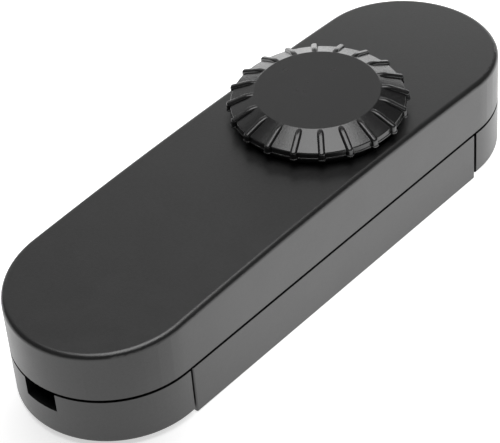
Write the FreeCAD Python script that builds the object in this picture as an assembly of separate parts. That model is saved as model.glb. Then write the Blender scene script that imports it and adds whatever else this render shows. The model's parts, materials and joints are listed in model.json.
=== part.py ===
# Rotary cord dimmer: an in-line mains dimmer in a stadium-shaped plastic housing.
# X runs along the housing from the mains end to the load end and Z is up.
# The origin is the centre of the underside. All sizes are in millimetres.
import FreeCAD, Part
import math
import os

from FreeCAD import Vector

# Housing
body_length = 138.0
body_width = 42.0
body_height = 25.6
parting_height = 12.7
wall = 2.0
top_thickness = 2.2
floor_thickness = 2.2
shadow_gap = 0.7
end_gap = 0.6
end_joint_inset = 1.0
end_cover_lift = 1.0
top_edge_radius = 1.2
bottom_edge_radius = 0.8
panel_edge_radius = 0.4
lip_thickness = 1.0
lip_clearance = 0.15
lip_height = 1.5
lip_root = 3.0
tongue_length = 4.0
tongue_width = 16.0
tongue_clearance = 0.15

# Cord entry and clamp
slot_width = 8.4
slot_floor = 7.7
clamp_setback = 3.4
clamp_width = 5.0
clamp_thickness = 2.5
clamp_margin = 2.7
clamp_gap = 0.5
clamp_drop = 0.5
clamp_post_gap = 0.6
clamp_corner_radius = 1.2
clamp_post_radius = 2.8
saddle_thickness = 1.6
saddle_height = 12.6

# Screws
boss_radius = 3.2
boss_cup_radius = 4.8
boss_clearance = 0.25
boss_web = 2.0
boss_margin = 1.0
housing_screw_radius = 1.25
housing_screw_head_radius = 2.7
housing_screw_head_height = 1.9
housing_screw_length = 11.0
clamp_screw_radius = 1.25
clamp_screw_head_radius = 2.2
clamp_screw_head_height = 1.6
clamp_screw_length = 12.5
board_screw_radius = 0.95
board_screw_head_radius = 2.0
board_screw_head_height = 1.4
board_screw_length = 6.0
head_clearance = 0.3
head_chamfer = 0.5
shank_clearance = 0.3
thread_clearance = 0.05
pilot_relief = 1.0
drive_slot_width = 0.8
drive_slot_depth = 0.8

# Knob
knob_x = 18.4
knob_face_radius = 13.6
knob_rim_radius = 18.9
knob_skirt_inset = 1.2
knob_clearance = 0.4
knob_skirt_height = 2.9
knob_rim_height = 1.5
knob_bevel_height = 2.4
knob_wall = 1.8
knob_edge_radius = 0.25
hub_radius = 5.5
hub_clearance = 0.6
hub_fit = 0.05
web_count = 6
web_thickness = 1.0
web_depth = 2.5
rib_count = 20
rib_width = 1.5
rib_rise = 0.65
rib_drop = 0.05
rib_overhang = 0.8
rib_bend_radius = 5.0
rib_corner_radius = 0.5
rib_crest_radius = 0.6
rib_phase_deg = 6.5
flash_width = 0.15
flash_height = 0.3
flash_edge_radius = 0.12

# Potentiometer
pot_radius = 8.5
pot_track_thickness = 1.0
pot_case_height = 5.4
pot_case_wall = 1.2
pot_stack_clearance = 0.6
bushing_radius = 4.5
bushing_flange_radius = 6.0
bushing_flange_thickness = 0.8
bushing_recess = 0.6
bushing_clearance = 0.4
collar_wall = 2.0
collar_depth = 0.4
shaft_radius = 3.0
shaft_flat = 1.5
shaft_end_gap = 0.2
shaft_foot_gap = 0.3
running_clearance = 0.05
wiper_radius = 6.6
wiper_thickness = 1.0
wiper_lift = 1.2
wiper_track_radius = 5.2
wiper_contact_clearance = 0.1
wiper_finger_width = 1.2
pot_pin_pitch = 5.0
pot_pin_setback = 6.0

# Circuit board
board_thickness = 1.6
board_margin = 0.55
board_boss_gap = 0.8
board_tongue_half_width = 8.5
board_tongue_margin = 0.5
board_post_radius = 2.5
board_post_inset = 3.4
lead_radius = 0.4
hole_clearance = 0.15
lead_tail = 1.0
part_standoff = 0.3

# Terminal blocks
terminal_depth = 8.0
terminal_pin_setback = 2.0
terminal_pitch = 5.08
terminal_end_wall = 2.66
terminal_gap = 4.0
terminal_floor_clearance = 1.2
cage_side = 3.4
cage_wall = 0.7
cage_fit = 0.05
terminal_screw_well = 2.6
terminal_screw_radius = 1.2
terminal_screw_head_radius = 1.6
terminal_screw_head_height = 1.2
terminal_screw_bite = 0.5

# Triac on its heat sink
sink_length = 18.0
sink_thickness = 2.0
sink_edge = -15.0
sink_pin_gap = 1.2
sink_fuse_gap = 2.0
triac_width = 10.0
triac_body_length = 9.0
triac_tab_length = 6.5
triac_tab_thickness = 1.3
triac_thickness = 4.5
triac_edge_gap = 1.5
triac_lead_pitch = 2.54
triac_edge_chamfer = 0.4
triac_lead_side = 0.8
triac_lead_reach = 3.5
triac_lead_level = 2.7
triac_hole_setback = 3.2
triac_screw_radius = 1.5
triac_screw_head_radius = 2.7
triac_screw_head_height = 2.0
triac_nut_flats = 5.5
triac_nut_height = 2.4

# Choke
choke_core_outer = 7.1
choke_core_inner = 3.6
choke_core_height = 6.0
choke_wire = 0.9
choke_bend_radius = 0.7
choke_edge_gap = 9.0
choke_side_gap = 1.8
choke_open_deg = 50.0
choke_turns = 16

# Fuse
fuse_radius = 2.6
fuse_length = 20.0
fuse_cap_length = 5.0
fuse_cap_wall = 0.25
fuse_end_wall = 0.5
fuse_glass_wall = 0.5
fuse_drop = 5.5
fuse_y = -11.0
clip_thickness = 0.5
clip_length = 4.0

# Capacitors, resistor and trigger diode
film_length = 18.0
film_width = 6.6
film_y = 6.0
film_edge_gap = 9.0
film_floor_clearance = 1.0
film_lead_pitch = 15.0
box_edge_radius = 0.6
timing_length = 7.2
timing_width = 3.5
timing_height = 7.0
timing_y = 9.5
timing_lead_pitch = 5.0
axial_lead_pitch = 10.0
resistor_radius = 1.2
resistor_length = 6.3
resistor_y = -9.0
diode_radius = 0.9
diode_length = 3.8
diode_y = -12.0

# Places nearer than this count as the same when edges are picked
tolerance = 1e-6

# Outline of the housing and levels of the mouldings
round_radius = body_width / 2
round_x = body_length / 2 - round_radius
upper_rim = parting_height + shadow_gap / 2
lower_rim = parting_height - shadow_gap / 2
roof = body_height - top_thickness
lip_outer_inset = wall + lip_clearance
lip_inner_inset = lip_outer_inset + lip_thickness
clear_radius = round_radius - lip_inner_inset
end_floor = end_cover_lift + floor_thickness

# Places inside the end chambers, from the round end inwards
clamp_post_y = slot_width / 2 + clamp_post_gap + clamp_post_radius
clamp_half_length = clamp_post_y + clamp_margin
clamp_x = round_x + math.sqrt((round_radius - wall) ** 2 - clamp_half_length ** 2) - clamp_setback
clamp_top = slot_floor + clamp_drop
clamp_bottom = clamp_top - clamp_thickness
boss_reach = clear_radius - boss_clearance - boss_radius
end_boss_x = clamp_x - clamp_width / 2 - clamp_gap - boss_cup_radius
end_boss_y = math.sqrt(boss_reach ** 2 - (end_boss_x - round_x) ** 2)
head_seat = lower_rim - boss_web
terminal_face = clamp_x - clamp_width / 2 - terminal_gap
terminal_back = terminal_face - terminal_depth
terminal_half_width = terminal_pitch / 2 + terminal_end_wall
terminal_bottom = end_floor + terminal_floor_clearance
cage_level = terminal_bottom + terminal_screw_well
cage_x = terminal_face - terminal_depth / 2

# Joints between the lower mouldings, and the screws of the middle one
cover_start = end_boss_x - boss_cup_radius - end_joint_inset
base_half = cover_start - end_gap
base_boss_x = base_half - boss_cup_radius - boss_margin
base_boss_y = boss_reach

# Knob levels and the stack of the potentiometer and board under it
skirt_bottom = body_height + knob_clearance
rim_bottom = skirt_bottom + knob_skirt_height
rim_top = rim_bottom + knob_rim_height
flash_top = rim_bottom + flash_height
knob_top = rim_top + knob_bevel_height
knob_roof = knob_top - knob_wall
skirt_radius = knob_rim_radius - knob_skirt_inset
bevel_slope = knob_bevel_height / (knob_rim_radius - knob_face_radius)
shaft_top = knob_roof - shaft_end_gap
pot_case_top = roof - pot_stack_clearance - bushing_flange_thickness
pot_case_bottom = pot_case_top - pot_case_height
board_top = pot_case_bottom - pot_track_thickness
board_bottom = board_top - board_thickness
lead_top = board_top + lead_tail
wiper_bottom = pot_case_bottom + wiper_lift

# Places of the parts under the board
board_half_length = base_boss_x - boss_radius - board_boss_gap
board_half_width = clear_radius - board_margin
board_post_x = board_half_length - board_post_inset
board_post_y = board_half_width - board_post_inset
board_end = terminal_face + board_tongue_margin
choke_x = -(board_half_length - choke_edge_gap - choke_core_outer - choke_wire)
choke_y = board_half_width - choke_side_gap - choke_core_outer - choke_wire
fuse_x = -(board_half_length - choke_edge_gap - fuse_length / 2)
sink_left = fuse_x + fuse_length / 2 + sink_fuse_gap
sink_right = knob_x - pot_pin_pitch - sink_pin_gap
triac_x = (sink_left + sink_right) / 2
triac_tab_end = sink_edge + triac_edge_gap
triac_body_end = triac_tab_end + triac_tab_length + triac_body_length
triac_lead_y = triac_body_end + triac_lead_reach
triac_hole_y = triac_tab_end + triac_hole_setback
sink_bottom = board_bottom - sink_thickness
glass_radius = fuse_radius - fuse_cap_wall
film_x = board_half_length - film_edge_gap
film_height = board_bottom - part_standoff - floor_thickness - film_floor_clearance


# Shapes used throughout
def block(x0, x1, y0, y1, z0, z1):
    return Part.makeBox(x1 - x0, y1 - y0, z1 - z0, Vector(x0, y0, z0))


def rod(radius, z0, z1, x=0.0, y=0.0):
    return Part.makeCylinder(radius, z1 - z0, Vector(x, y, z0))


def bar(radius, start, end):
    along = Vector(*end) - Vector(*start)
    return Part.makeCylinder(radius, along.Length, Vector(*start), along)


def tube(outer, inner, z0, z1, x=0.0, y=0.0):
    return rod(outer, z0, z1, x, y).cut(rod(inner, z0, z1, x, y))


def outline(points):
    corners = [Vector(*p) for p in points]
    return Part.Wire(Part.makePolygon(corners + corners[:1]))


def join(shapes):
    shapes = list(shapes)
    return shapes[0].multiFuse(shapes[1:]).removeSplitter() if len(shapes) > 1 else shapes[0]


def stadium(inset, z0, z1):
    """The housing's outline, moved inwards by inset and drawn up from z0 to z1."""
    r = round_radius - inset
    right = Part.Arc(Vector(round_x, -r, z0), Vector(round_x + r, 0, z0), Vector(round_x, r, z0))
    left = Part.Arc(Vector(-round_x, r, z0), Vector(-round_x - r, 0, z0), Vector(-round_x, -r, z0))
    back = Part.LineSegment(Vector(round_x, r, z0), Vector(-round_x, r, z0))
    front = Part.LineSegment(Vector(-round_x, -r, z0), Vector(round_x, -r, z0))
    loop = Part.Wire([right.toShape(), back.toShape(), left.toShape(), front.toShape()])
    return Part.Face(loop).extrude(Vector(0, 0, z1 - z0))


def stadium_ring(outer_inset, inner_inset, z0, z1):
    return stadium(outer_inset, z0, z1).cut(stadium(inner_inset, z0, z1))


def four(x, y):
    return [(sx * x, sy * y) for sx in (-1, 1) for sy in (-1, 1)]


def level_edges(shape, z):
    """Edges that lie wholly at one height."""
    return [e for e in shape.Edges if all(abs(v.Z - z) < tolerance for v in e.Vertexes)]


def upright_edges(shape, x):
    """Straight edges that run along Z at one distance from the middle of the housing."""
    return [e for e in shape.Edges if all(abs(abs(v.X) - x) < tolerance for v in e.Vertexes)
            and e.BoundBox.ZLength > tolerance]


def mirrored(shape):
    """The same piece for the load end, turned half round the vertical axis."""
    turned = shape.copy()
    turned.rotate(Vector(0, 0, 0), Vector(0, 0, 1), 180)
    return turned


def screw(x, y, seat, radius, head_radius, head_height, length):
    """A pan-head screw that points up, with its head under the seat level."""
    foot = seat - head_height
    head = rod(head_radius, foot, seat, x, y)
    head = head.makeChamfer(head_chamfer, level_edges(head, foot))
    whole = join([head, rod(radius, seat, seat + length, x, y)])
    whole = whole.makeChamfer(radius / 2, level_edges(whole, seat + length))
    reach = 2 * head_radius
    cut = block(x - reach, x + reach, y - drive_slot_width / 2, y + drive_slot_width / 2,
                foot, foot + drive_slot_depth)
    return whole.cut(cut)


# Upper moulding
def cover_pillars():
    """Each pillar under the roof: its place, radius and foot, then its pilot hole's radius and depth."""
    housing_depth = housing_screw_length - boss_web + pilot_relief
    board_depth = board_screw_length - board_thickness + pilot_relief
    clamp_depth = clamp_screw_length - (saddle_height - clamp_bottom) + pilot_relief
    pillars = []
    for x, y in four(base_boss_x, base_boss_y) + four(end_boss_x, end_boss_y):
        pillars.append((x, y, boss_radius, lower_rim, housing_screw_radius, housing_depth))
    for x, y in four(board_post_x, board_post_y):
        pillars.append((x, y, board_post_radius, board_top, board_screw_radius, board_depth))
    for x, y in four(clamp_x, clamp_post_y):
        pillars.append((x, y, clamp_post_radius, saddle_height, clamp_screw_radius, clamp_depth))
    return pillars


def saddle(side):
    """The wall across an end chamber that the cord is pressed against."""
    x = side * clamp_x
    reach = clamp_post_y - clamp_post_radius / 2
    return block(x - saddle_thickness / 2, x + saddle_thickness / 2, -reach, reach, saddle_height, roof)


def top_cover():
    outer = stadium(0, upper_rim, body_height)
    outer = outer.makeFillet(top_edge_radius, level_edges(outer, body_height))
    shell = outer.cut(stadium(wall, upper_rim, roof))
    hole_radius = bushing_radius + bushing_clearance
    collar = rod(hole_radius + collar_wall, roof - collar_depth, roof, knob_x)
    pillars, holes = [], [rod(hole_radius, roof - collar_depth, body_height, knob_x)]
    for x, y, radius, foot, pilot_radius, pilot_depth in cover_pillars():
        pillars.append(rod(radius, foot, roof, x, y))
        holes.append(rod(pilot_radius + thread_clearance, foot, foot + pilot_depth, x, y))
    return join([shell, collar, saddle(-1), saddle(1)] + pillars).cut(holes)


# Lower mouldings
def lip():
    """The upstand inside the upper moulding's wall, which hides the shadow gap."""
    foot = parting_height - lip_root
    root = stadium_ring(wall / 2, lip_inner_inset, foot, lower_rim)
    upstand = stadium_ring(lip_outer_inset, lip_inner_inset, foot, parting_height + lip_height)
    return join([root, upstand])


def screw_well(x, y, underside):
    """The deep hole for a screw: wide enough for its head, then a clearance hole through the web."""
    recess = rod(housing_screw_head_radius + head_clearance, underside, head_seat, x, y)
    return recess.fuse(rod(housing_screw_radius + shank_clearance, underside, lower_rim, x, y))


def with_wells(shell, places, underside):
    """The shell with a column at each place, which meets a pillar of the upper moulding."""
    columns = [rod(boss_cup_radius, underside, lower_rim, x, y) for x, y in places]
    return join([shell] + columns).cut([screw_well(x, y, underside) for x, y in places])


def base():
    reach = round_radius + wall
    slab = block(-base_half, base_half, -reach, reach, 0, body_height)
    panel = stadium(0, 0, lower_rim).common(slab)
    panel = panel.makeFillet(panel_edge_radius, upright_edges(panel, base_half))
    panel = panel.makeFillet(panel_edge_radius, level_edges(panel, 0))
    hollow = stadium(wall, floor_thickness, lower_rim)
    shell = join([panel.cut(hollow), lip().common(slab)])
    return with_wells(shell, four(base_boss_x, base_boss_y), 0)


def end_cover():
    """The terminal cover at the mains end. The load end has the same moulding."""
    tip = -body_length / 2 - wall
    slab = block(tip, -cover_start, -body_width, body_width, 0, body_height)
    outer = stadium(0, end_cover_lift, lower_rim).common(slab)
    rounded = [e for e in level_edges(outer, end_cover_lift) if e.BoundBox.XLength > tolerance]
    outer = outer.makeFillet(bottom_edge_radius, rounded)
    hollow = stadium(wall, end_floor, lower_rim)
    shell = join([outer.cut(hollow), lip().common(slab)])
    tongue = block(-cover_start - wall, -cover_start + tongue_length, -tongue_width / 2, tongue_width / 2,
                   floor_thickness + tongue_clearance, end_floor)
    places = [(-end_boss_x, -end_boss_y), (-end_boss_x, end_boss_y)]
    shell = with_wells(join([shell, tongue]), places, end_cover_lift)
    notch_depth = wall + lip_inner_inset
    notch = block(-body_length / 2 - wall, -body_length / 2 + notch_depth, -slot_width / 2, slot_width / 2,
                  slot_floor, body_height)
    return shell.cut(notch)


# Cord clamps
def cord_clamp():
    """The loose bar that two screws draw up against the cord."""
    outer, inner = clamp_x + clamp_width / 2, clamp_x - clamp_width / 2
    plate = block(-outer, -inner, -clamp_half_length, clamp_half_length, clamp_bottom, clamp_top)
    corners = upright_edges(plate, outer) + upright_edges(plate, inner)
    plate = plate.makeFillet(clamp_corner_radius, corners)
    for y in (-clamp_post_y, clamp_post_y):
        plate = plate.cut(rod(clamp_screw_radius + shank_clearance, clamp_bottom, clamp_top, -clamp_x, y))
    return plate


def clamp_screws():
    return [screw(x, y, clamp_bottom, clamp_screw_radius, clamp_screw_head_radius,
                  clamp_screw_head_height, clamp_screw_length) for x, y in four(clamp_x, clamp_post_y)]


# Housing and board screws
def housing_screws(places):
    return [screw(x, y, head_seat, housing_screw_radius, housing_screw_head_radius,
                  housing_screw_head_height, housing_screw_length) for x, y in places]


def board_screws():
    return [screw(x, y, board_bottom, board_screw_radius, board_screw_head_radius,
                  board_screw_head_height, board_screw_length) for x, y in four(board_post_x, board_post_y)]


# Knob
def radial_face(points):
    """A face in the plane that holds the knob's axis, from points given as radius and height."""
    return Part.Face(outline([(r, 0, z) for r, z in points]))


def knob_body():
    inner_radius = skirt_radius - knob_wall
    hub_bottom = body_height + hub_clearance
    shoulder = knob_roof - bevel_slope * (inner_radius - knob_face_radius + knob_wall)
    profile = radial_face([
        (0, knob_top), (knob_face_radius, knob_top), (knob_rim_radius, rim_top),
        (knob_rim_radius, rim_bottom), (skirt_radius, rim_bottom), (skirt_radius, skirt_bottom),
        (inner_radius, skirt_bottom), (inner_radius, shoulder),
        (knob_face_radius - knob_wall, knob_roof), (hub_radius, knob_roof),
        (hub_radius, hub_bottom), (0, hub_bottom)])
    turned = profile.revolve(Vector(0, 0, 0), Vector(0, 0, 1), 360)
    return turned.makeFillet(knob_edge_radius, level_edges(turned, rim_top))


def bevel_level(radius):
    return knob_top - bevel_slope * (radius - knob_face_radius)


def grip_rib():
    """One rib of the grip: level with the face, then along the bevel and down the rim to the flash."""
    half = rib_width / 2
    start = knob_face_radius - knob_wall / 2
    bend = knob_face_radius + (rib_rise + rib_drop) / bevel_slope
    tip = knob_rim_radius + rib_overhang
    root = knob_rim_radius - knob_wall / 2
    level = knob_top - rib_drop
    tip_z = bevel_level(tip) + rib_rise
    side = Part.Face(outline([
        (start, -half, level), (bend, -half, level), (tip, -half, tip_z), (tip, -half, rim_bottom),
        (root, -half, rim_bottom), (root, -half, rim_top), (start, -half, knob_top - knob_wall / 2)]))
    rib = side.extrude(Vector(0, rib_width, 0))
    rib = rib.makeFillet(rib_corner_radius, level_edges(rib, tip_z))
    across_bend = [e for e in level_edges(rib, level) if e.BoundBox.XMin > bend - tolerance]
    rib = rib.makeFillet(rib_bend_radius, across_bend)
    ridges = [e for e in rib.Edges if e.BoundBox.YLength < tolerance and e.BoundBox.XMax > knob_rim_radius
              and e.BoundBox.XLength > rib_overhang and e.BoundBox.ZMax > rim_top]
    return rib.makeFillet(rib_crest_radius, ridges)


def flash_pad():
    """The part of the flash that runs round the foot of one rib."""
    half = rib_width / 2 + flash_width
    tip = knob_rim_radius + rib_overhang + flash_width
    root = knob_rim_radius - knob_wall / 2
    pad = block(root, tip, -half, half, rim_bottom, flash_top)
    pad = pad.makeFillet(rib_crest_radius + flash_width, upright_edges(pad, tip))
    outer = [e for e in level_edges(pad, flash_top) if e.BoundBox.XMax > root + tolerance]
    return pad.makeFillet(flash_edge_radius, outer)


def flash():
    """The fine ledge that the mould leaves where the ribbed rim meets the skirt."""
    ring = rod(knob_rim_radius + flash_width, rim_bottom, flash_top)
    ring = ring.makeFillet(flash_edge_radius, level_edges(ring, flash_top))
    return ring.cut(rod(skirt_radius - knob_wall / 2, rim_bottom, flash_top))


def shaft_bore():
    """The D-shaped bore of the hub."""
    grown = shaft_radius + hub_fit
    flat = shaft_radius - shaft_flat + hub_fit
    bore = rod(grown, body_height, knob_roof)
    return bore.cut(block(-grown, grown, flat, 2 * grown, body_height, knob_roof))


def hub_webs():
    webs = []
    for k in range(web_count):
        web = block(hub_radius - web_thickness, skirt_radius - knob_wall / 2,
                    -web_thickness / 2, web_thickness / 2, knob_roof - web_depth, knob_roof)
        web.rotate(Vector(0, 0, 0), Vector(0, 0, 1), 360.0 * k / web_count)
        webs.append(web)
    return webs


def knob():
    ribs = []
    for k in range(rib_count):
        for rib in (grip_rib(), flash_pad()):
            rib.rotate(Vector(0, 0, 0), Vector(0, 0, 1), rib_phase_deg + 360.0 * k / rib_count)
            ribs.append(rib)
    whole = join([knob_body(), flash()] + ribs + hub_webs()).cut(shaft_bore())
    whole.translate(Vector(knob_x, 0, 0))
    return whole


# Potentiometer
def pot_track():
    return rod(pot_radius, board_top, pot_case_bottom, knob_x)


def pot_case():
    cup = rod(pot_radius, pot_case_bottom, pot_case_top, knob_x)
    cup = cup.makeChamfer(pot_case_wall / 2, level_edges(cup, pot_case_top))
    cup = cup.cut(rod(pot_radius - pot_case_wall, pot_case_bottom, pot_case_top - pot_case_wall, knob_x))
    return cup.cut(rod(shaft_radius + bushing_clearance, pot_case_bottom, pot_case_top, knob_x))


def pot_bushing():
    flange = rod(bushing_flange_radius, pot_case_top, pot_case_top + bushing_flange_thickness, knob_x)
    barrel = rod(bushing_radius, pot_case_top, body_height - bushing_recess, knob_x)
    whole = join([flange, barrel])
    return whole.cut(rod(shaft_radius + running_clearance, pot_case_top, body_height, knob_x))


def pot_shaft():
    shaft = rod(shaft_radius, pot_case_bottom + shaft_foot_gap, shaft_top)
    reach = 2 * shaft_radius
    flat = block(-reach, reach, shaft_radius - shaft_flat, reach, body_height + hub_clearance, shaft_top)
    shaft = shaft.cut(flat)
    shaft.translate(Vector(knob_x, 0, 0))
    return shaft


def pot_wiper():
    """The contact carrier on the shaft, with two fingers that run on the track."""
    disc = tube(wiper_radius, shaft_radius, wiper_bottom, wiper_bottom + wiper_thickness)
    half = wiper_finger_width / 2
    foot = pot_case_bottom + wiper_contact_clearance
    fingers = [block(side * wiper_track_radius - half, side * wiper_track_radius + half, -half, half,
                     foot, wiper_bottom) for side in (-1, 1)]
    whole = join([disc] + fingers)
    whole.translate(Vector(knob_x, 0, 0))
    return whole


def pot_pin_places():
    return [(knob_x + k * pot_pin_pitch, -pot_pin_setback) for k in (-1, 0, 1)]


def pot_pins():
    return [rod(lead_radius, board_bottom - lead_tail, board_top, x, y) for x, y in pot_pin_places()]


# Circuit board
def lead_places():
    """Where the leads of the parts under the board pass through it."""
    places = list(pot_pin_places())
    places += triac_lead_places() + choke_lead_places() + film_lead_places() + timing_lead_places()
    places += axial_lead_places(resistor_y) + axial_lead_places(diode_y)
    places += clip_places() + terminal_pin_places(-1) + terminal_pin_places(1)
    return places


def circuit_board():
    middle = block(-board_half_length, board_half_length, -board_half_width, board_half_width,
                   board_bottom, board_top)
    tongue = block(-board_end, board_end, -board_tongue_half_width, board_tongue_half_width,
                   board_bottom, board_top)
    board = join([middle, tongue])
    holes = [rod(lead_radius + hole_clearance, board_bottom, board_top, x, y) for x, y in lead_places()]
    holes += [rod(board_screw_radius + shank_clearance, board_bottom, board_top, x, y)
              for x, y in four(board_post_x, board_post_y)]
    holes.append(rod(triac_screw_radius + hole_clearance, board_bottom, board_top, triac_x, triac_hole_y))
    return board.cut(holes)


# Terminal blocks
def terminal_poles():
    return (-terminal_pitch / 2, terminal_pitch / 2)


def terminal_pin_places(side):
    return [(side * (terminal_back + terminal_pin_setback), y) for y in terminal_poles()]


def terminal_block():
    """The two-pole block at the mains end: wires enter from outside, screws turn from below."""
    body = block(-terminal_face, -terminal_back, -terminal_half_width, terminal_half_width,
                 terminal_bottom, board_bottom)
    half = cage_side / 2 + cage_fit
    for y in terminal_poles():
        wire_way = block(-terminal_face, -cage_x + half, y - half, y + half,
                         cage_level - cage_fit, cage_level + cage_side + cage_fit)
        way_radius = terminal_screw_head_radius + thread_clearance
        screw_way = rod(way_radius, terminal_bottom, cage_level, -cage_x, y)
        body = body.cut(wire_way).cut(screw_way)
    return body


def terminal_pins(side):
    """Tinned pins from a block through the board."""
    return [rod(lead_radius, board_bottom, lead_top, x, y) for x, y in terminal_pin_places(side)]


def terminal_cages():
    cages = []
    top = cage_level + cage_side
    half = cage_side / 2
    mouth = half - cage_wall
    for x, y in four(cage_x, terminal_pitch / 2):
        body = block(x - half, x + half, y - half, y + half, cage_level, top)
        way = block(x - half, x + half, y - mouth, y + mouth, cage_level + cage_wall, top - cage_wall)
        thread = rod(terminal_screw_radius + thread_clearance, cage_level, cage_level + half, x, y)
        cages.append(body.cut(way).cut(thread))
    return cages


def terminal_screws():
    length = cage_wall + terminal_screw_bite
    return [screw(x, y, cage_level, terminal_screw_radius, terminal_screw_head_radius,
                  terminal_screw_head_height, length) for x, y in four(cage_x, terminal_pitch / 2)]


# Triac and heat sink
def triac_lead_places():
    return [(triac_x + k * triac_lead_pitch, triac_lead_y) for k in (-1, 0, 1)]


def heat_sink():
    plate = block(sink_left, sink_right, sink_edge, sink_edge + sink_length, sink_bottom, board_bottom)
    hole_radius = triac_screw_radius + hole_clearance
    return plate.cut(rod(hole_radius, sink_bottom, board_bottom, triac_x, triac_hole_y))


def triac_frame():
    """The metal tab and the three legs, bent up through the board."""
    half = triac_width / 2
    tab = block(triac_x - half, triac_x + half, triac_tab_end, triac_body_end - triac_body_length,
                sink_bottom - triac_tab_thickness, sink_bottom)
    tab = tab.cut(rod(triac_screw_radius + hole_clearance, sink_bottom - triac_tab_thickness, sink_bottom,
                      triac_x, triac_hole_y))
    side = triac_lead_side / 2
    level = sink_bottom - triac_lead_level
    legs = []
    for x, y in triac_lead_places():
        flat = block(x - side, x + side, triac_body_end, y + side, level - side, level + side)
        upright = rod(lead_radius, level, lead_top, x, y)
        legs.append(join([flat, upright]))
    return [tab] + legs


def triac_body():
    half = triac_width / 2
    start = triac_body_end - triac_body_length
    low = sink_bottom - triac_thickness
    body = block(triac_x - half, triac_x + half, start, triac_body_end, low, sink_bottom)
    return body.makeChamfer(triac_edge_chamfer, level_edges(body, low))


def triac_screw():
    seat = sink_bottom - triac_tab_thickness
    length = triac_tab_thickness + sink_thickness + board_thickness + triac_nut_height
    return screw(triac_x, triac_hole_y, seat, triac_screw_radius, triac_screw_head_radius,
                 triac_screw_head_height, length)


def triac_nut():
    corner = triac_nut_flats / math.sqrt(3)
    points = []
    for k in range(6):
        turn = math.radians(60 * k)
        along, across = corner * math.cos(turn), corner * math.sin(turn)
        points.append((triac_x + along, triac_hole_y + across, board_top))
    nut = Part.Face(outline(points)).extrude(Vector(0, 0, triac_nut_height))
    return nut.cut(rod(triac_screw_radius + thread_clearance, board_top, board_top + triac_nut_height,
                       triac_x, triac_hole_y))


# Choke
def choke_levels():
    top = board_bottom - part_standoff - choke_wire
    return top - choke_core_height, top


def choke_lead_places():
    reach = choke_core_outer + choke_wire / 2
    first_turn = choke_open_deg / 2 + (360.0 - choke_open_deg) / choke_turns / 2
    angles = [math.radians(s * first_turn) for s in (-1, 1)]
    return [(choke_x - reach * math.cos(a), choke_y + reach * math.sin(a)) for a in angles]


def choke_core():
    low, high = choke_levels()
    return tube(choke_core_outer, choke_core_inner, low, high, choke_x, choke_y)


def choke_turn(angle_deg):
    """One turn of wire round the core's section, as a flat rounded loop."""
    low, high = choke_levels()
    outer = block(choke_core_inner - choke_wire, choke_core_outer + choke_wire,
                  -choke_wire / 2, choke_wire / 2, low - choke_wire, high + choke_wire)
    across = [e for e in outer.Edges if e.BoundBox.YLength > choke_wire / 2]
    outer = outer.makeFillet(choke_bend_radius, across)
    loop = outer.cut(block(choke_core_inner, choke_core_outer, -choke_wire, choke_wire, low, high))
    loop.translate(Vector(choke_x, choke_y, 0))
    loop.rotate(Vector(choke_x, choke_y, 0), Vector(0, 0, 1), angle_deg)
    return loop


def choke_wrap():
    """The bonded inner layer of the winding, round the core's section between the two open ends."""
    low, high = choke_levels()
    grow = choke_wire / 2
    section = radial_face([(choke_core_inner - grow, low - grow), (choke_core_outer + grow, low - grow),
                           (choke_core_outer + grow, high + grow), (choke_core_inner - grow, high + grow)])
    span = 360.0 - choke_open_deg
    wrap = section.revolve(Vector(0, 0, 0), Vector(0, 0, 1), span)
    wrap.rotate(Vector(0, 0, 0), Vector(0, 0, 1), 180.0 + choke_open_deg / 2)
    wrap.translate(Vector(choke_x, choke_y, 0))
    return wrap


def choke_winding():
    """The turns on their inner layer, with a lead up through the board from the first and last turn."""
    low, high = choke_levels()
    span = 360.0 - choke_open_deg
    first = 180.0 + choke_open_deg / 2 + span / choke_turns / 2
    turns = [choke_turn(first + span * k / choke_turns) for k in range(choke_turns)]
    leads = [rod(lead_radius, high, lead_top, x, y) for x, y in choke_lead_places()]
    wound = join([choke_wrap()] + turns + leads)
    return wound.cut(tube(choke_core_outer, choke_core_inner, low, high, choke_x, choke_y))


# Fuse in its clips
def fuse_level():
    return board_bottom - fuse_drop


def clip_places():
    reach = fuse_length / 2 - fuse_cap_length / 2
    return [(fuse_x + s * reach, fuse_y) for s in (-1, 1)]


def fuse_caps():
    caps = []
    for side in (-1, 1):
        outer_x = fuse_x + side * fuse_length / 2
        inner_x = outer_x - side * fuse_cap_length
        cap = bar(fuse_radius, (outer_x, fuse_y, fuse_level()), (inner_x, fuse_y, fuse_level()))
        bore = bar(glass_radius, (outer_x - side * fuse_end_wall, fuse_y, fuse_level()),
                   (inner_x, fuse_y, fuse_level()))
        caps.append(cap.cut(bore))
    return caps


def fuse_tube():
    reach = fuse_length / 2 - fuse_end_wall
    start = (fuse_x - reach, fuse_y, fuse_level())
    end = (fuse_x + reach, fuse_y, fuse_level())
    return bar(glass_radius, start, end).cut(bar(glass_radius - fuse_glass_wall, start, end))


def fuse_clips():
    """Two spring clips: a bridge under the board, a leg through it and two cheeks on the cap."""
    clips = []
    inner = fuse_radius
    outer = inner + clip_thickness
    for x, y in clip_places():
        half = clip_length / 2
        low = fuse_level() - fuse_radius / 2
        bridge_top = fuse_level() + fuse_radius + clip_thickness
        jaw = block(x - half, x + half, y - outer, y + outer, low, bridge_top)
        jaw = jaw.cut(block(x - half, x + half, y - inner, y + inner, low, fuse_level()))
        jaw = jaw.cut(bar(inner, (x - half, y, fuse_level()), (x + half, y, fuse_level())))
        clips.append(join([jaw, rod(lead_radius, bridge_top, lead_top, x, y)]))
    return clips


# Capacitors, resistor and trigger diode
def film_lead_places():
    return [(film_x, film_y + s * film_lead_pitch / 2) for s in (-1, 1)]


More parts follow.
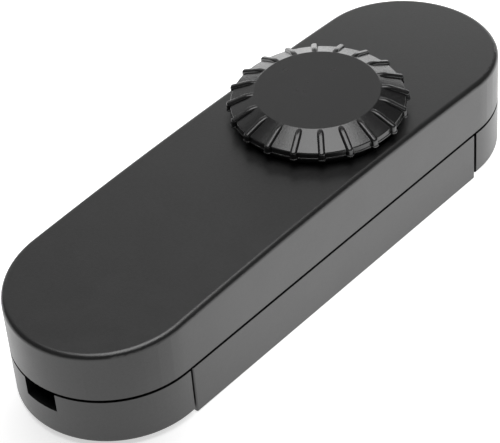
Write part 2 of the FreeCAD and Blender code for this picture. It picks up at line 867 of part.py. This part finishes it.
def boxed_capacitor(x, y, x_size, y_size, height, places):
    top = board_bottom - part_standoff
    body = block(x - x_size / 2, x + x_size / 2, y - y_size / 2, y + y_size / 2, top - height, top)
    body = body.makeFillet(box_edge_radius, level_edges(body, top - height))
    leads = [rod(lead_radius, top, lead_top, lx, ly) for lx, ly in places]
    return join([body] + leads)


def film_capacitor():
    return boxed_capacitor(film_x, film_y, film_width, film_length, film_height, film_lead_places())


def timing_lead_places():
    return [(triac_x + s * timing_lead_pitch / 2, timing_y) for s in (-1, 1)]


def timing_capacitor():
    return boxed_capacitor(triac_x, timing_y, timing_length, timing_width, timing_height,
                           timing_lead_places())


def axial_lead_places(y):
    return [(knob_x + s * axial_lead_pitch / 2, y) for s in (-1, 1)]


def axial_part(y, radius, length):
    """A small part that lies under the board between two bent leads."""
    level = board_bottom - part_standoff - radius
    reach = axial_lead_pitch / 2
    body = bar(radius, (knob_x - length / 2, y, level), (knob_x + length / 2, y, level))
    run = bar(lead_radius, (knob_x - reach, y, level), (knob_x + reach, y, level))
    posts = [rod(lead_radius, level - lead_radius, lead_top, x, y) for x, _ in axial_lead_places(y)]
    return join([body, run] + posts)


def resistor():
    return axial_part(resistor_y, resistor_radius, resistor_length)


def trigger_diode():
    return axial_part(diode_y, diode_radius, diode_length)


# Every piece, by its name
def pieces():
    near_cover = end_cover()
    near_clamp = cord_clamp()
    near_block = terminal_block()
    return {
        "top_cover": top_cover(),
        "base": base(),
        "end_cover_mains": near_cover,
        "end_cover_load": mirrored(near_cover),
        "base_screws": housing_screws(four(base_boss_x, base_boss_y)),
        "end_cover_screws": housing_screws(four(end_boss_x, end_boss_y)),
        "cord_clamp_mains": near_clamp,
        "cord_clamp_load": mirrored(near_clamp),
        "cord_clamp_screws": clamp_screws(),
        "knob": knob(),
        "pot_shaft": pot_shaft(),
        "pot_wiper": pot_wiper(),
        "pot_bushing": pot_bushing(),
        "pot_case": pot_case(),
        "pot_track": pot_track(),
        "pot_pins": pot_pins(),
        "circuit_board": circuit_board(),
        "board_screws": board_screws(),
        "terminal_block_mains": near_block,
        "terminal_block_load": mirrored(near_block),
        "terminal_pins": terminal_pins(-1) + terminal_pins(1),
        "terminal_cages": terminal_cages(),
        "terminal_screws": terminal_screws(),
        "heat_sink": heat_sink(),
        "triac_body": triac_body(),
        "triac_frame": triac_frame(),
        "triac_screw": triac_screw(),
        "triac_nut": triac_nut(),
        "choke_core": choke_core(),
        "choke_winding": choke_winding(),
        "fuse_tube": fuse_tube(),
        "fuse_caps": fuse_caps(),
        "fuse_clips": fuse_clips(),
        "film_capacitor": film_capacitor(),
        "timing_capacitor": timing_capacitor(),
        "resistor": resistor(),
        "trigger_diode": trigger_diode(),
    }


def main():
    os.makedirs("parts", exist_ok=True)
    for name, shape in pieces().items():
        solids = Part.makeCompound(shape) if isinstance(shape, list) else shape
        solids.exportStep(os.path.join("parts", name + ".step"))
        print(name, len(solids.Solids), solids.isValid(), round(solids.Volume, 2))


main()
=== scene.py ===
# Rotary cord dimmer: finishes, arched cover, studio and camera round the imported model, in metres.
import json
import math

import bmesh
import bpy
from mathutils import Matrix, Vector


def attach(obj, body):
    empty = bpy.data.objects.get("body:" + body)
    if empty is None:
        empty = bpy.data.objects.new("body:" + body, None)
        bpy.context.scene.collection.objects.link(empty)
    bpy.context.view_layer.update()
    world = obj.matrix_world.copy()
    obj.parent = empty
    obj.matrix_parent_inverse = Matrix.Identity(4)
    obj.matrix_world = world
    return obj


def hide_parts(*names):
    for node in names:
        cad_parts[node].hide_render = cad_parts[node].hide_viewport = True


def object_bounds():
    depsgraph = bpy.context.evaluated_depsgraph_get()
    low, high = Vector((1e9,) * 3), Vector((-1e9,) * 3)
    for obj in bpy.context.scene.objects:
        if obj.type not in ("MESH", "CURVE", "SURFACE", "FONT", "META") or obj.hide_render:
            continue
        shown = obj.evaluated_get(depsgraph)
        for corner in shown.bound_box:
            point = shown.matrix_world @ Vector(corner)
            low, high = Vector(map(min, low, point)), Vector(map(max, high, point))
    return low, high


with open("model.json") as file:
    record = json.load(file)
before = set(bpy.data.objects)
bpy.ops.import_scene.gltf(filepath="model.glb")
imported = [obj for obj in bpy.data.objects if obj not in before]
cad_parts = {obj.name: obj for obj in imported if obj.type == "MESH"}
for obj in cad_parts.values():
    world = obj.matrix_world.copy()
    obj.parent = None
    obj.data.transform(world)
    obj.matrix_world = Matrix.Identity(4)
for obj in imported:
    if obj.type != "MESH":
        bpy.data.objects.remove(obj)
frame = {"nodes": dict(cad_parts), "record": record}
cad_low, cad_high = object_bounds()

# Camera, as solved from the photograph's perspective
CAMERA_AZIMUTH = math.radians(-45.249)
CAMERA_ELEVATION = math.radians(40.731)
CAMERA_ROLL = math.radians(-4.975)
CAMERA_DISTANCE = 0.46432
CAMERA_LEFT = 0.00434
CAMERA_UP = 0.00530
CAMERA_BASE = 0.00104
CAMERA_LENS = 152.570
CAMERA_NEAREST = 0.01

# Arch of the top cover along its length, and the level seat cut into it round the knob
COVER_TOP = max(vertex.co.z for vertex in frame["nodes"]["top_cover"].data.vertices)
COVER_FOOT = 0.0131
HALF_LENGTH = cad_high[0]
ARCH_RISE = 0.0013
ARCH_FALL = 0.0023
ARCH_STEPS = 46
SEAT_RADIUS = 0.0182
SEAT_DEPTH = 0.004
SEAT_SIDES = 160
WELD = 0.000001
EDGE_ANGLE = math.radians(30)

# Studio: the paper floor, with a painted pool of light that makes it show brighter behind the object than in
# front of it
WHITE = (1.0, 1.0, 1.0)
FLOOR_HALF = 4.0
FLOOR_LEVEL = -0.0001
FLOOR_GREY = (0.88, 0.88, 0.88)
FLOOR_ROUGHNESS = 0.9
FLOOR_MOTTLE_SCALE = 3.0
FLOOR_TONE_SPREAD = 0.01
# Painted pool of light on the floor: its glow rises from the front level to the back level along this way
PAINTED_POOL_WAY = (0.90, 0.43, 0.0)
PAINTED_POOL_START = -0.082
PAINTED_POOL_FULL = -0.022
PAINTED_POOL_FRONT = 0.40
PAINTED_POOL_BACK = 1.0
SKY_LEVEL = 0.10

# Softboxes: bearing from +Y towards +X and height in degrees, size in metres, brightness where 1 is white
SOFTBOX_DISTANCE = 1.2
SOFTBOXES = {
    "overhead": {"bearing": 110, "height": 87, "size": (0.95, 0.95), "brightness": 3.25},
    "rear": {"bearing": 55, "height": 8, "size": (1.06, 0.32), "brightness": 2.0},
    "rear_wall": {"bearing": 31, "height": 29, "size": (1.50, 0.76), "brightness": 0.45},
}

# Surface detail: scales in repeats per metre, depths in metres, and spreads of tone and gloss as shares
GRAIN_SCALE = 4000.0
GRAIN_DEPTH = 0.000020
MOULD_TONE_SPREAD = 0.12
MOULD_GLOSS_SPREAD = 0.08
MOTTLE_SCALE = 160.0
SPECKLE_SCALE = 1600.0
BLACK_TONE_SPREAD = 0.9
STREAK_SCALE = 900.0
METAL_TONE_SPREAD = 0.10
METAL_GLOSS_SPREAD = 0.16
PEEL_SCALE = 1400.0
PEEL_DEPTH = 0.00003
LACQUER_TONE_SPREAD = 0.08
LACQUER_GLOSS_SPREAD = 0.10

# Board pattern, glass, and places of the potentiometer and the wire-ended pieces
TRACK_LENGTH = 0.0085
TRACK_PITCH = 0.0026
TRACK_GAP = 0.0003
TRACK_OFFSET = 0.37
TRACK_EDGE = 0.2
RESIST_GREEN = (0.035, 0.23, 0.085)
BARE_GREEN = (0.018, 0.12, 0.05)
RESIST_ROUGHNESS = 0.24
RESIST_GLOSS_SPREAD = 0.06
BARE_ROUGHER = 0.12
PHENOLIC_BROWN = (0.30, 0.17, 0.08)
PHENOLIC_ROUGHNESS = 0.55
PHENOLIC_GLOSS_SPREAD = 0.08
CARBON_GREY = 0.02
CARBON_SMOOTHER = 0.15
GLASS_TINT = (0.93, 0.96, 0.95)
GLASS_TONE_SPREAD = 0.02
GLASS_ROUGHNESS = 0.02
GLASS_GLOSS_SPREAD = 0.04
GLASS_IOR = 1.5
KNOB_AXIS = (0.0184, 0.0, 0.0)
CARBON_RADIUS = 0.0052
CARBON_HALF_WIDTH = 0.0010
RESISTOR_BANDS = {
    -0.0021: (0.30, 0.10, 0.03),
    -0.0010: (0.02, 0.02, 0.02),
    0.0001: (0.65, 0.25, 0.03),
    0.0019: (0.60, 0.42, 0.12),
}
DIODE_BANDS = {0.0011: (0.02, 0.02, 0.02)}
BAND_HALF_WIDTH = 0.0003


# Shader maths
class Value:
    """A number, colour or vector that varies over a surface. Arithmetic on it adds Math nodes."""

    def __init__(self, finish, socket):
        self.finish = finish
        self.socket = socket

    def math(self, operation, first, second):
        return self.finish.node("ShaderNodeMath", {"operation": operation}, {0: first, 1: second})

    def __add__(self, other):
        return self.math("ADD", self, other)

    def __radd__(self, other):
        return self.math("ADD", other, self)

    def __sub__(self, other):
        return self.math("SUBTRACT", self, other)

    def __rsub__(self, other):
        return self.math("SUBTRACT", other, self)

    def __mul__(self, other):
        return self.math("MULTIPLY", self, other)

    def __rmul__(self, other):
        return self.math("MULTIPLY", other, self)


class Finish:
    """One material under construction."""

    def __init__(self, name):
        self.material = bpy.data.materials.new(name)
        self.material.use_nodes = True
        self.tree = self.material.node_tree

    def feed(self, socket, value):
        if isinstance(value, Value):
            self.tree.links.new(value.socket, socket)
        else:
            socket.default_value = value

    def node(self, kind, settings=None, sockets=None, out=0):
        made = self.tree.nodes.new(kind)
        for key, value in (settings or {}).items():
            setattr(made, key, value)
        for key, value in (sockets or {}).items():
            self.feed(made.inputs[key], value)
        return Value(self, made.outputs[out])

    def place(self):
        return self.node("ShaderNodeTexCoord", out="Object")

    def vector(self, operation, first, second, out=0):
        return self.node("ShaderNodeVectorMath", {"operation": operation}, {0: first, 1: second}, out=out)

    def noise(self, scale, detail=2.0, roughness=0.5, stretch=(1.0, 1.0, 1.0)):
        return self.node("ShaderNodeTexNoise", {}, {
            "Vector": self.vector("MULTIPLY", self.place(), stretch),
            "Scale": scale, "Detail": detail, "Roughness": roughness})

    def near(self, value, middle, half_width):
        """1 within half a width of the middle, and 0 elsewhere."""
        return self.node("ShaderNodeMath", {"operation": "COMPARE"}, {0: value, 1: middle, 2: half_width})

    def blend(self, factor, first, second):
        return self.node("ShaderNodeMix", {"data_type": "RGBA"}, {0: factor, 6: first, 7: second}, out=2)

    def tint(self, factor, colour, spread):
        return self.blend(factor, shade(colour, 1 - spread), shade(colour, 1 + spread))

    def bump(self, height, depth):
        return self.node("ShaderNodeBump", {}, {"Height": height, "Distance": depth})

    def surface(self, sockets):
        shader = self.tree.nodes["Principled BSDF"]
        for key, value in sockets.items():
            self.feed(shader.inputs[key], value)
        return self.material


def shade(colour, factor):
    return tuple(c * factor for c in colour) + (1.0,)


# Finishes
def moulded_plastic(name, colour, roughness, specular=0.5, tone_spread=MOULD_TONE_SPREAD):
    """Spark-eroded mould texture: a fine even grain, with slow changes of gloss and small ones of tone."""
    finish = Finish(name)
    mottle = finish.noise(MOTTLE_SCALE, detail=3.0)
    speckle = finish.noise(SPECKLE_SCALE, detail=3.0)
    grains = finish.noise(GRAIN_SCALE, detail=1.0)
    return finish.surface({
        "Base Color": finish.tint(speckle, colour, tone_spread),
        "Roughness": roughness - MOULD_GLOSS_SPREAD / 2 + mottle * MOULD_GLOSS_SPREAD,
        "Normal": finish.bump(grains, GRAIN_DEPTH),
        "Specular IOR Level": specular,
    })


def dipped(name, colour, roughness, bands=None):
    """A dipped or lacquered skin with a slight orange peel, and colour bands across it along X."""
    finish = Finish(name)
    peel = finish.noise(PEEL_SCALE, detail=2.0)
    skin = finish.tint(peel, colour, LACQUER_TONE_SPREAD)
    from_axis = finish.vector("SUBTRACT", finish.place(), KNOB_AXIS)
    along = finish.vector("DOT_PRODUCT", from_axis, (1.0, 0.0, 0.0), out="Value")
    for middle, paint in (bands or {}).items():
        skin = finish.blend(finish.near(along, middle, BAND_HALF_WIDTH), skin, shade(paint, 1.0))
    return finish.surface({
        "Base Color": skin,
        "Roughness": roughness + peel * LACQUER_GLOSS_SPREAD,
        "Normal": finish.bump(peel, PEEL_DEPTH),
    })


def metal(name, colour, roughness, stretch=(1.0, 1.0, 1.0), coat=0.0):
    """Plated, rolled or turned metal, with an uneven sheen drawn out along the way it was worked."""
    finish = Finish(name)
    streak = finish.noise(STREAK_SCALE, detail=4.0, roughness=0.6, stretch=stretch)
    return finish.surface({
        "Base Color": finish.tint(streak, colour, METAL_TONE_SPREAD),
        "Metallic": 1.0,
        "Roughness": roughness - METAL_GLOSS_SPREAD / 2 + streak * METAL_GLOSS_SPREAD,
        "Coat Weight": coat,
    })


def board_resist():
    """Green resist, paler over the copper areas and darker in the bare gaps between them."""
    finish = Finish("board_resist")
    gaps = finish.node("ShaderNodeTexBrick", {"offset": TRACK_OFFSET}, {
        "Vector": finish.place(), "Scale": 1.0, "Mortar Size": TRACK_GAP, "Mortar Smooth": TRACK_EDGE,
        "Brick Width": TRACK_LENGTH, "Row Height": TRACK_PITCH}, out=1)
    speckle = finish.noise(STREAK_SCALE, detail=3.0)
    copper = finish.tint(speckle, RESIST_GREEN, MOULD_TONE_SPREAD)
    bare = finish.tint(speckle, BARE_GREEN, MOULD_TONE_SPREAD)
    return finish.surface({
        "Base Color": finish.blend(gaps, copper, bare),
        "Roughness": RESIST_ROUGHNESS + gaps * BARE_ROUGHER + speckle * RESIST_GLOSS_SPREAD,
        "Normal": finish.bump(1 - gaps, PEEL_DEPTH),
    })


def phenolic_track():
    """Brown phenolic board with the black carbon ring that the wiper runs on."""
    finish = Finish("phenolic_track")
    fibre = finish.noise(STREAK_SCALE, detail=4.0, stretch=(0.2, 1.0, 1.0))
    flat_place = finish.vector("MULTIPLY", finish.place(), (1.0, 1.0, 0.0))
    radius = finish.vector("DISTANCE", flat_place, KNOB_AXIS, out="Value")
    carbon = finish.near(radius, CARBON_RADIUS, CARBON_HALF_WIDTH)
    return finish.surface({
        "Base Color": finish.blend(carbon, finish.tint(fibre, PHENOLIC_BROWN, MOULD_TONE_SPREAD),
                                   shade(WHITE, CARBON_GREY)),
        "Roughness": PHENOLIC_ROUGHNESS - carbon * CARBON_SMOOTHER + fibre * PHENOLIC_GLOSS_SPREAD,
    })


def clear_glass():
    """Drawn glass, clear with faint lengthwise draw lines."""
    finish = Finish("fuse_glass")
    lines = finish.noise(STREAK_SCALE, detail=2.0, stretch=(0.05, 1.0, 1.0))
    return finish.surface({
        "Base Color": finish.tint(lines, GLASS_TINT, GLASS_TONE_SPREAD),
        "Roughness": GLASS_ROUGHNESS + lines * GLASS_GLOSS_SPREAD,
        "Transmission Weight": 1.0,
        "IOR": GLASS_IOR,
    })


FINISHES = {
    "housing_black": moulded_plastic("housing_plastic", (0.009, 0.009, 0.0092), 0.34,
                                     specular=0.95, tone_spread=BLACK_TONE_SPREAD),
    "knob_black": moulded_plastic("knob_plastic", (0.008, 0.008, 0.0082), 0.26,
                                  specular=0.85, tone_spread=BLACK_TONE_SPREAD),
    "clamp_grey": moulded_plastic("clamp_plastic", (0.12, 0.12, 0.125), 0.5),
    "carrier_plastic": moulded_plastic("carrier_plastic", (0.75, 0.74, 0.70), 0.5),
    "terminal_plastic": moulded_plastic("terminal_plastic", (0.45, 0.46, 0.47), 0.45),
    "epoxy_black": moulded_plastic("triac_epoxy", (0.03, 0.03, 0.03), 0.55),
    "film_yellow": moulded_plastic("film_box", (0.70, 0.55, 0.10), 0.3),
    "film_red": moulded_plastic("timing_box", (0.45, 0.08, 0.05), 0.3),
    "track_board": phenolic_track(),
    "board_green": board_resist(),
    "resistor_beige": dipped("resistor_lacquer", (0.68, 0.55, 0.38), 0.25, RESISTOR_BANDS),
    "diode_blue": dipped("diode_lacquer", (0.15, 0.30, 0.55), 0.18, DIODE_BANDS),
    "core_iron": dipped("core_coating", (0.55, 0.48, 0.12), 0.4),
    "fuse_glass": clear_glass(),
    "screw_steel": metal("zinc_plate", (0.60, 0.60, 0.61), 0.35),
    "shaft_aluminium": metal("turned_aluminium", (0.74, 0.74, 0.75), 0.3, stretch=(0.2, 0.2, 4.0)),
    "bushing_brass": metal("stamped_brass", (0.72, 0.56, 0.28), 0.32),
    "tinned_steel": metal("tin_plate", (0.68, 0.68, 0.67), 0.35),
    "sink_aluminium": metal("sheet_aluminium", (0.72, 0.73, 0.74), 0.4, stretch=(0.1, 2.0, 2.0)),
    "enamelled_copper": metal("enamelled_copper", (0.62, 0.27, 0.11), 0.3, coat=0.6),
    "nickel_caps": metal("nickel_plate", (0.70, 0.68, 0.62), 0.25),
}

for part in frame["record"]["subparts"]:
    dressed = frame["nodes"][part["node"]]
    dressed.data.materials.clear()
    dressed.data.materials.append(FINISHES[part["material_slot"]])


# Arched top cover
def arch_lift(place):
    """Height that the arch adds at a point: none at the foot of the cover's walls, all of it at the roof."""
    share = max(place.z - COVER_FOOT, 0.0) / (COVER_TOP - COVER_FOOT)
    return share * (ARCH_RISE - ARCH_FALL * (place.x / HALF_LENGTH) ** 2)


def arched_mesh(source):
    shape = bmesh.new()
    shape.from_mesh(source.data)
    bmesh.ops.remove_doubles(shape, verts=shape.verts, dist=WELD)
    for k in range(1, ARCH_STEPS):
        along = HALF_LENGTH * (2 * k / ARCH_STEPS - 1)
        bmesh.ops.bisect_plane(shape, geom=shape.verts[:] + shape.edges[:] + shape.faces[:],
                               plane_co=(along, 0, 0), plane_no=(1, 0, 0))
    for vertex in shape.verts:
        vertex.co.z += arch_lift(vertex.co)
    mesh = bpy.data.meshes.new("arched_top_cover")
    shape.to_mesh(mesh)
    shape.free()
    mesh.attributes.remove(mesh.attributes["custom_normal"])
    return mesh


def seat_cutter():
    shape = bmesh.new()
    middle = Matrix.Translation((KNOB_AXIS[0], 0, COVER_TOP + SEAT_DEPTH / 2))
    bmesh.ops.create_cone(shape, cap_ends=True, segments=SEAT_SIDES, radius1=SEAT_RADIUS, radius2=SEAT_RADIUS,
                          depth=SEAT_DEPTH, matrix=middle)
    mesh = bpy.data.meshes.new("seat_cutter")
    shape.to_mesh(mesh)
    shape.free()
    return bpy.data.objects.new("seat_cutter", mesh)


def arched_cover():
    """The top cover with its roof arched along its length, and a level seat for the knob."""
    cover = bpy.data.objects.new("arched_top_cover", arched_mesh(frame["nodes"]["top_cover"]))
    cutter = seat_cutter()
    for made in (cover, cutter):
        bpy.context.scene.collection.objects.link(made)
    cut = cover.modifiers.new("seat", "BOOLEAN")
    cut.operation = "DIFFERENCE"
    cut.object = cutter
    seated = cover.evaluated_get(bpy.context.evaluated_depsgraph_get())
    cover.data = bpy.data.meshes.new_from_object(seated)
    cover.modifiers.clear()
    bpy.data.objects.remove(cutter)
    cover.data.shade_smooth()
    cover.data.set_sharp_from_angle(angle=EDGE_ANGLE)
    shading = cover.modifiers.new("shading", "WEIGHTED_NORMAL")
    shading.keep_sharp = True
    cover.data.materials.clear()
    cover.data.materials.append(FINISHES["housing_black"])
    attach(cover, "housing")
    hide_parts("top_cover")


arched_cover()


# Studio
def floor_glow_and_painted_pool(finish):
    """What the floor shows of itself to the camera, in mirrors and through glass, beside the light on it: an
    even glow, with a painted pool of light brighter behind the object.
    """
    camera_ray, glossy_ray, transmission_ray = [finish.node("ShaderNodeLightPath", out=f"Is {name} Ray")
                                                for name in ("Camera", "Glossy", "Transmission")]
    # Painted pool of light: the floor's glow is brighter behind the object than in front of it
    along = finish.vector("DOT_PRODUCT", finish.place(), PAINTED_POOL_WAY, out="Value")
    painted_pool = finish.node("ShaderNodeMapRange", {"interpolation_type": "SMOOTHSTEP"}, {
        "Value": along, "From Min": PAINTED_POOL_START, "From Max": PAINTED_POOL_FULL,
        "To Min": PAINTED_POOL_FRONT, "To Max": PAINTED_POOL_BACK})
    return (camera_ray + glossy_ray + transmission_ray) * painted_pool


def white_floor():
    mesh = bpy.data.meshes.new("floor")
    h = FLOOR_HALF
    mesh.from_pydata([(-h, -h, FLOOR_LEVEL), (h, -h, FLOOR_LEVEL), (h, h, FLOOR_LEVEL), (-h, h, FLOOR_LEVEL)],
                     [], [(0, 1, 2, 3)])
    floor = bpy.data.objects.new("floor", mesh)
    bpy.context.scene.collection.objects.link(floor)
    finish = Finish("floor_paper")
    finish.surface({
        "Base Color": finish.tint(finish.noise(FLOOR_MOTTLE_SCALE), FLOOR_GREY, FLOOR_TONE_SPREAD),
        "Roughness": FLOOR_ROUGHNESS,
        # Emission: the floor's even glow plus the painted pool of light, which the object also shows in its
        # reflections
        "Emission Color": finish.blend(floor_glow_and_painted_pool(finish), shade(WHITE, 0.0), shade(WHITE, 1.0)),
        "Emission Strength": 1.0,
    })
    mesh.materials.append(finish.material)


def studio_sky():
    """A dim even room round the softboxes."""
    world = bpy.data.worlds.new("studio")
    bpy.context.scene.world = world
    world.use_nodes = True
    background = world.node_tree.nodes["Background"]
    background.inputs["Color"].default_value = shade(WHITE, SKY_LEVEL)
    background.inputs["Strength"].default_value = 1.0


def softbox(name, bearing, height, size, brightness):
    turn, rise = math.radians(bearing), math.radians(height)
    towards = Vector((math.sin(turn) * math.cos(rise), math.cos(turn) * math.cos(rise), math.sin(rise)))
    data = bpy.data.lights.new(name, "AREA")
    data.shape = "RECTANGLE"
    data.size, data.size_y = size
    data.energy = brightness * math.pi * data.size * data.size_y
    lamp = bpy.data.objects.new(name, data)
    lamp.location = towards * SOFTBOX_DISTANCE
    lamp.rotation_euler = (-towards).to_track_quat("-Z", "Y").to_euler()
    bpy.context.scene.collection.objects.link(lamp)


def camera():
    a, e = CAMERA_AZIMUTH, CAMERA_ELEVATION
    back = Vector((math.sin(a) * math.cos(e), -math.cos(a) * math.cos(e), math.sin(e)))
    level = Vector((math.cos(a), math.sin(a), 0.0))
    upright = back.cross(level)
    right = math.cos(CAMERA_ROLL) * level + math.sin(CAMERA_ROLL) * upright
    up = math.cos(CAMERA_ROLL) * upright - math.sin(CAMERA_ROLL) * level
    place = back * CAMERA_DISTANCE - right * CAMERA_LEFT + up * CAMERA_UP + Vector((0, 0, CAMERA_BASE))
    data = bpy.data.cameras.new("camera")
    data.lens = CAMERA_LENS
    data.clip_start = CAMERA_NEAREST
    eye = bpy.data.objects.new("camera", data)
    eye.matrix_world = Matrix((
        (right.x, up.x, back.x, place.x),
        (right.y, up.y, back.y, place.y),
        (right.z, up.z, back.z, place.z),
        (0, 0, 0, 1)))
    bpy.context.scene.collection.objects.link(eye)
    bpy.context.scene.camera = eye


white_floor()
studio_sky()
for box in SOFTBOXES:
    softbox(box, **SOFTBOXES[box])
camera()
bpy.context.scene.view_settings.view_transform = "Standard"
